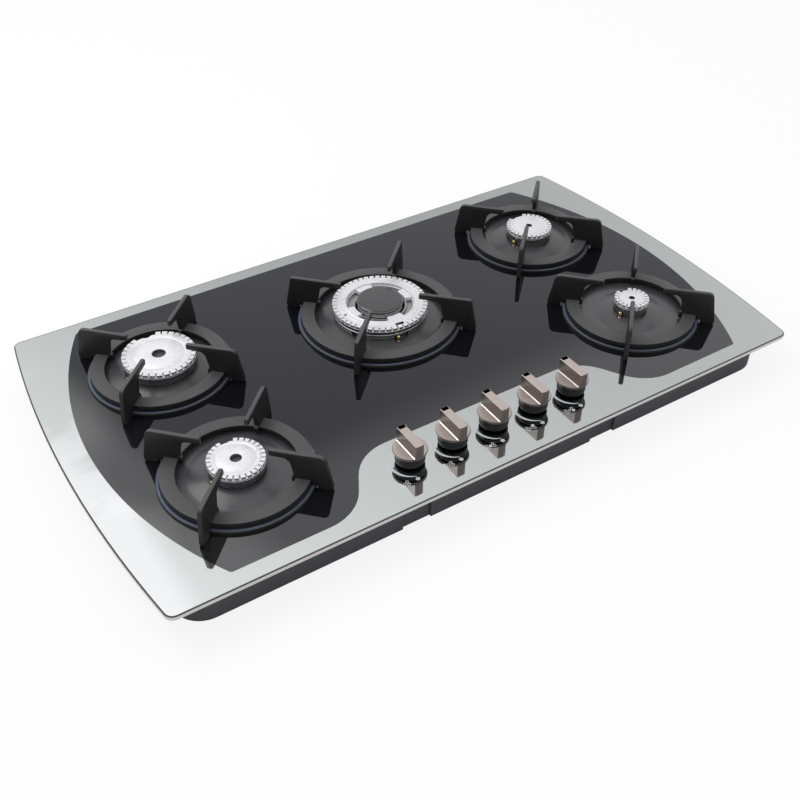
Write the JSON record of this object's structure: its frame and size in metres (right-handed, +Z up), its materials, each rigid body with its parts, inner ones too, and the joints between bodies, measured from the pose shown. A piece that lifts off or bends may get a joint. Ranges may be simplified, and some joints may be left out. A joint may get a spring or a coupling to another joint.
{
  "type": "gas cooktop",
  "caption": "Built-in gas cooktop with a bowed glass top, ringed pan supports, bare burner heads, a double-ring middle burner and push-and-turn knobs along the front.",
  "frame": {"origin": "middle of the steel box's underside", "axes": "+X to the right, +Y to the rear, +Z up, with the knobs along the front edge"},
  "size_m": [0.9, 0.515, 0.096],
  "materials": {
    "coated_glass": "silver mirror coating with a black printed cooking field, polished",
    "box_paint": "dark satin powder coat",
    "seal_rubber": "closed-cell foam strip",
    "galvanised_steel": "plain zinc plate",
    "cup_aluminium": "as cast, darkened",
    "tray_enamel": "black gloss enamel",
    "support_enamel": "matte black enamel",
    "head_aluminium": "bare cast and turned aluminium",
    "cap_enamel": "black gloss enamel",
    "knob_metal": "satin warm grey metal finish",
    "skirt_plastic": "black, moulded",
    "stem_steel": "turned steel",
    "brass": "turned",
    "pipe_aluminium": "drawn tube",
    "ceramic": "white glazed ceramic",
    "module_plastic": "moulded case"
  },
  "bodies": {
    "hob": {"glass_panel": "coated_glass", "bottom_box": "box_paint", "seal_gasket": "seal_rubber", "burner_rails": "galvanised_steel", "burner_cups": "cup_aluminium", "drip_trays": "tray_enamel", "gas_manifold": "galvanised_steel", "inlet_elbow": "brass", "tap_bodies": "cup_aluminium", "tap_screws": "galvanised_steel", "gas_pipes": "pipe_aluminium", "injectors": "brass", "spark_electrodes": "ceramic", "thermocouples": "brass", "ignition_module": "module_plastic"},
    "support_rear_left": {"pan_support_rear_left": "support_enamel"},
    "support_front_left": {"pan_support_front_left": "support_enamel"},
    "support_middle": {"pan_support_middle": "support_enamel"},
    "support_rear_right": {"pan_support_rear_right": "support_enamel"},
    "support_front_right": {"pan_support_front_right": "support_enamel"},
    "head_rear_left": {"burner_head_rear_left": "head_aluminium"},
    "head_front_left": {"burner_head_front_left": "head_aluminium"},
    "head_middle": {"burner_head_middle": "head_aluminium"},
    "head_rear_right": {"burner_head_rear_right": "head_aluminium"},
    "head_front_right": {"burner_head_front_right": "head_aluminium"},
    "inner_crown": {"inner_crown_middle": "head_aluminium"},
    "cap": {"burner_cap_middle": "cap_enamel"},
    "tap_plug_1": {"valve_plug_1": "brass"},
    "knob_1": {"knob_cap_1": "knob_metal", "knob_skirt_1": "skirt_plastic", "valve_stem_1": "stem_steel"},
    "tap_plug_2": {"valve_plug_2": "brass"},
    "knob_2": {"knob_cap_2": "knob_metal", "knob_skirt_2": "skirt_plastic", "valve_stem_2": "stem_steel"},
    "tap_plug_3": {"valve_plug_3": "brass"},
    "knob_3": {"knob_cap_3": "knob_metal", "knob_skirt_3": "skirt_plastic", "valve_stem_3": "stem_steel"},
    "tap_plug_4": {"valve_plug_4": "brass"},
    "knob_4": {"knob_cap_4": "knob_metal", "knob_skirt_4": "skirt_plastic", "valve_stem_4": "stem_steel"},
    "tap_plug_5": {"valve_plug_5": "brass"},
    "knob_5": {"knob_cap_5": "knob_metal", "knob_skirt_5": "skirt_plastic", "valve_stem_5": "stem_steel"}
  },
  "joints": [
    {"name": "lift_support_rear_left", "type": "slide", "parent": "hob", "child": "support_rear_left", "axis": [0, 0, 1], "range_m": [0, 0.08]},
    {"name": "lift_support_front_left", "type": "slide", "parent": "hob", "child": "support_front_left", "axis": [0, 0, 1], "range_m": [0, 0.08]},
    {"name": "lift_support_middle", "type": "slide", "parent": "hob", "child": "support_middle", "axis": [0, 0, 1], "range_m": [0, 0.08]},
    {"name": "lift_support_rear_right", "type": "slide", "parent": "hob", "child": "support_rear_right", "axis": [0, 0, 1], "range_m": [0, 0.08]},
    {"name": "lift_support_front_right", "type": "slide", "parent": "hob", "child": "support_front_right", "axis": [0, 0, 1], "range_m": [0, 0.08]},
    {"name": "lift_head_rear_left", "type": "slide", "parent": "hob", "child": "head_rear_left", "axis": [0, 0, 1], "range_m": [0, 0.011]},
    {"name": "lift_head_front_left", "type": "slide", "parent": "hob", "child": "head_front_left", "axis": [0, 0, 1], "range_m": [0, 0.03]},
    {"name": "lift_head_middle", "type": "slide", "parent": "hob", "child": "head_middle", "axis": [0, 0, 1], "range_m": [0, 0.01]},
    {"name": "lift_head_rear_right", "type": "slide", "parent": "hob", "child": "head_rear_right", "axis": [0, 0, 1], "range_m": [0, 0.03]},
    {"name": "lift_head_front_right", "type": "slide", "parent": "hob", "child": "head_front_right", "axis": [0, 0, 1], "range_m": [0, 0.03]},
    {"name": "lift_inner_crown", "type": "slide", "parent": "hob", "child": "inner_crown", "axis": [0, 0, 1], "range_m": [0, 0.03]},
    {"name": "lift_cap", "type": "slide", "parent": "inner_crown", "child": "cap", "axis": [0, 0, 1], "range_m": [0, 0.02]},
    {"name": "turn_knob_1", "type": "hinge", "parent": "hob", "child": "tap_plug_1", "pos_m": [-0.116, -0.196, 0.03], "axis": [0, 0, 1], "range_deg": [0, 210]},
    {"name": "push_knob_1", "type": "slide", "parent": "tap_plug_1", "child": "knob_1", "axis": [0, 0, -1], "range_m": [0, 0.0025], "stiffness_N_per_m": 600, "springref_m": -0.004},
    {"name": "turn_knob_2", "type": "hinge", "parent": "hob", "child": "tap_plug_2", "pos_m": [-0.058, -0.196, 0.03], "axis": [0, 0, 1], "range_deg": [0, 210]},
    {"name": "push_knob_2", "type": "slide", "parent": "tap_plug_2", "child": "knob_2", "axis": [0, 0, -1], "range_m": [0, 0.0025], "stiffness_N_per_m": 600, "springref_m": -0.004},
    {"name": "turn_knob_3", "type": "hinge", "parent": "hob", "child": "tap_plug_3", "pos_m": [0, -0.196, 0.03], "axis": [0, 0, 1], "range_deg": [0, 210]},
    {"name": "push_knob_3", "type": "slide", "parent": "tap_plug_3", "child": "knob_3", "axis": [0, 0, -1], "range_m": [0, 0.0025], "stiffness_N_per_m": 600, "springref_m": -0.004},
    {"name": "turn_knob_4", "type": "hinge", "parent": "hob", "child": "tap_plug_4", "pos_m": [0.058, -0.196, 0.03], "axis": [0, 0, 1], "range_deg": [0, 210]},
    {"name": "push_knob_4", "type": "slide", "parent": "tap_plug_4", "child": "knob_4", "axis": [0, 0, -1], "range_m": [0, 0.0025], "stiffness_N_per_m": 600, "springref_m": -0.004},
    {"name": "turn_knob_5", "type": "hinge", "parent": "hob", "child": "tap_plug_5", "pos_m": [0.116, -0.196, 0.03], "axis": [0, 0, 1], "range_deg": [0, 210]},
    {"name": "push_knob_5", "type": "slide", "parent": "tap_plug_5", "child": "knob_5", "axis": [0, 0, -1], "range_m": [0, 0.0025], "stiffness_N_per_m": 600, "springref_m": -0.004}
  ]
}
